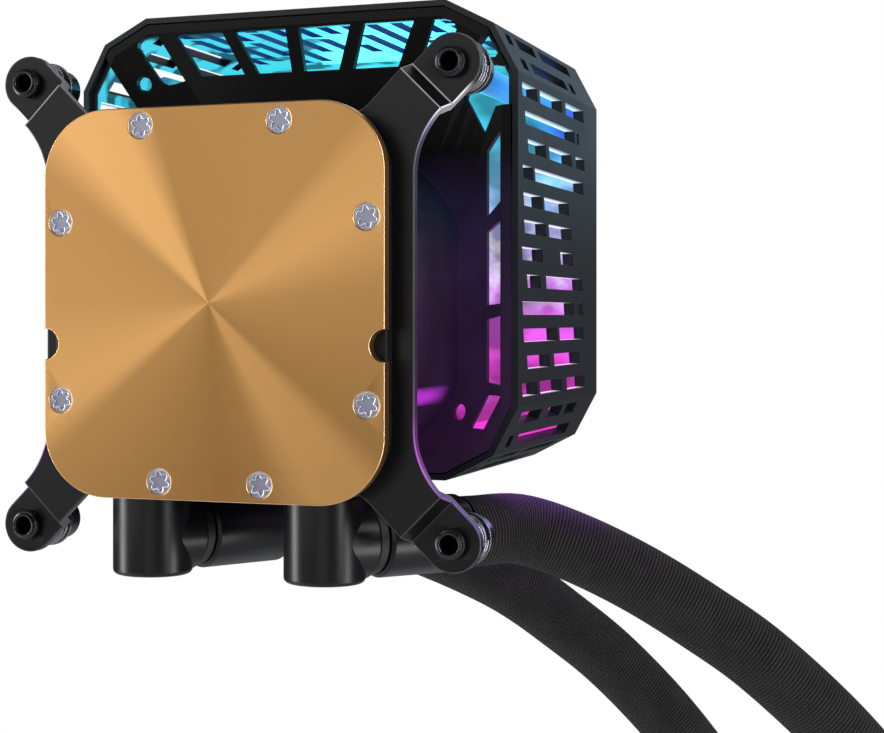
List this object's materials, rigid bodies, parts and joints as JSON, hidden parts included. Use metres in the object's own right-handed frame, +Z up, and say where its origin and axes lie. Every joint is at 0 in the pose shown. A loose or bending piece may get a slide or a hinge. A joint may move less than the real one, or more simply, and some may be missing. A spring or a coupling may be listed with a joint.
{
  "type": "all in one cpu liquid cooler",
  "caption": "Liquid cooler's pump block: copper cold plate, cross-shaped bracket with spring screws, slotted light cage and two braided hoses on swivel elbows.",
  "frame": {"origin": "middle of the cold plate's front face", "axes": "-Y out of the cold plate's face towards the processor, +Z up, away from the hose fittings, +X to the right"},
  "size_m": [0.1655, 0.1137, 0.3638],
  "materials": {
    "copper": "bare copper, fine machined grain",
    "winding": "enamelled copper wire",
    "steel": "satin",
    "black_steel": "satin black",
    "gunmetal": "fine grained gunmetal paint",
    "black_plastic": "matt black",
    "satin_black": "satin black",
    "rubber": "matt",
    "braid": "rubber hose under a fine woven sleeve",
    "circuit": "circuit board",
    "frosted": "frosted, lit from its edge",
    "magnet": "sintered",
    "core": "stacked sheets",
    "ceramic": "ground"
  },
  "bodies": {
    "cooler": {"cold_plate": "copper", "plate_screw_1": "steel", "plate_screw_2": "steel", "plate_screw_3": "steel", "plate_screw_4": "steel", "plate_screw_5": "steel", "plate_screw_6": "steel", "plate_screw_7": "steel", "plate_screw_8": "steel", "plate_gasket": "rubber", "base_housing": "black_plastic", "mounting_bracket": "black_steel", "pump_casing": "black_plastic", "rotor_can": "steel", "pump_shaft": "ceramic", "stator_core": "core", "stator_coil_1": "winding", "stator_coil_2": "winding", "stator_coil_3": "winding", "stator_coil_4": "winding", "pump_board": "circuit", "back_flange": "gunmetal", "cage_shell": "gunmetal", "front_cover": "gunmetal", "led_board": "circuit", "light_guide": "frosted", "port_seal_left": "rubber", "port_seal_right": "rubber", "screw_spring_1": "steel", "screw_spring_2": "steel", "screw_spring_3": "steel", "screw_spring_4": "steel"},
    "rotor": {"impeller": "black_plastic", "rotor_magnet": "magnet"},
    "left_hose": {"elbow_left": "satin_black", "fitting_collar_left": "rubber", "hose_ferrule_left": "satin_black", "hose_left": "braid", "end_ferrule_left": "satin_black", "hose_union_left": "satin_black"},
    "right_hose": {"elbow_right": "satin_black", "fitting_collar_right": "rubber", "hose_ferrule_right": "satin_black", "hose_right": "braid", "end_ferrule_right": "satin_black", "hose_union_right": "satin_black"},
    "screw_washer_1": {"screw_washer_1": "steel"},
    "thumb_screw_1": {"thumb_screw_1": "black_steel"},
    "screw_washer_2": {"screw_washer_2": "steel"},
    "thumb_screw_2": {"thumb_screw_2": "black_steel"},
    "screw_washer_3": {"screw_washer_3": "steel"},
    "thumb_screw_3": {"thumb_screw_3": "black_steel"},
    "screw_washer_4": {"screw_washer_4": "steel"},
    "thumb_screw_4": {"thumb_screw_4": "black_steel"}
  },
  "joints": [
    {"name": "impeller_spin", "type": "hinge", "parent": "cooler", "child": "rotor", "pos_m": [0, 0.0113, 0], "axis": [0, 1, 0], "continuous": true},
    {"name": "left_elbow_swivel", "type": "hinge", "parent": "cooler", "child": "left_hose", "pos_m": [-0.01535, 0.0116, -0.0384], "axis": [0, 0, 1], "range_deg": [0, 40]},
    {"name": "right_elbow_swivel", "type": "hinge", "parent": "cooler", "child": "right_hose", "pos_m": [0.01535, 0.0116, -0.0384], "axis": [0, 0, 1], "range_deg": [-3, 15]},
    {"name": "screw_press_1", "type": "slide", "parent": "cooler", "child": "screw_washer_1", "axis": [0, -1, 0], "range_m": [0, 0.0015], "stiffness_N_per_m": 500, "springref_m": -0.002, "deforming": ["screw_spring_1"]},
    {"name": "screw_turn_1", "type": "hinge", "parent": "screw_washer_1", "child": "thumb_screw_1", "pos_m": [-0.0375, 0.0187, 0.0375], "axis": [0, 1, 0], "continuous": true},
    {"name": "screw_press_2", "type": "slide", "parent": "cooler", "child": "screw_washer_2", "axis": [0, -1, 0], "range_m": [0, 0.0015], "stiffness_N_per_m": 500, "springref_m": -0.002, "deforming": ["screw_spring_2"]},
    {"name": "screw_turn_2", "type": "hinge", "parent": "screw_washer_2", "child": "thumb_screw_2", "pos_m": [0.0375, 0.0187, 0.0375], "axis": [0, 1, 0], "continuous": true},
    {"name": "screw_press_3", "type": "slide", "parent": "cooler", "child": "screw_washer_3", "axis": [0, -1, 0], "range_m": [0, 0.0015], "stiffness_N_per_m": 500, "springref_m": -0.002, "deforming": ["screw_spring_3"]},
    {"name": "screw_turn_3", "type": "hinge", "parent": "screw_washer_3", "child": "thumb_screw_3", "pos_m": [-0.0375, 0.0187, -0.0375], "axis": [0, 1, 0], "continuous": true},
    {"name": "screw_press_4", "type": "slide", "parent": "cooler", "child": "screw_washer_4", "axis": [0, -1, 0], "range_m": [0, 0.0015], "stiffness_N_per_m": 500, "springref_m": -0.002, "deforming": ["screw_spring_4"]},
    {"name": "screw_turn_4", "type": "hinge", "parent": "screw_washer_4", "child": "thumb_screw_4", "pos_m": [0.0375, 0.0187, -0.0375], "axis": [0, 1, 0], "continuous": true}
  ]
}
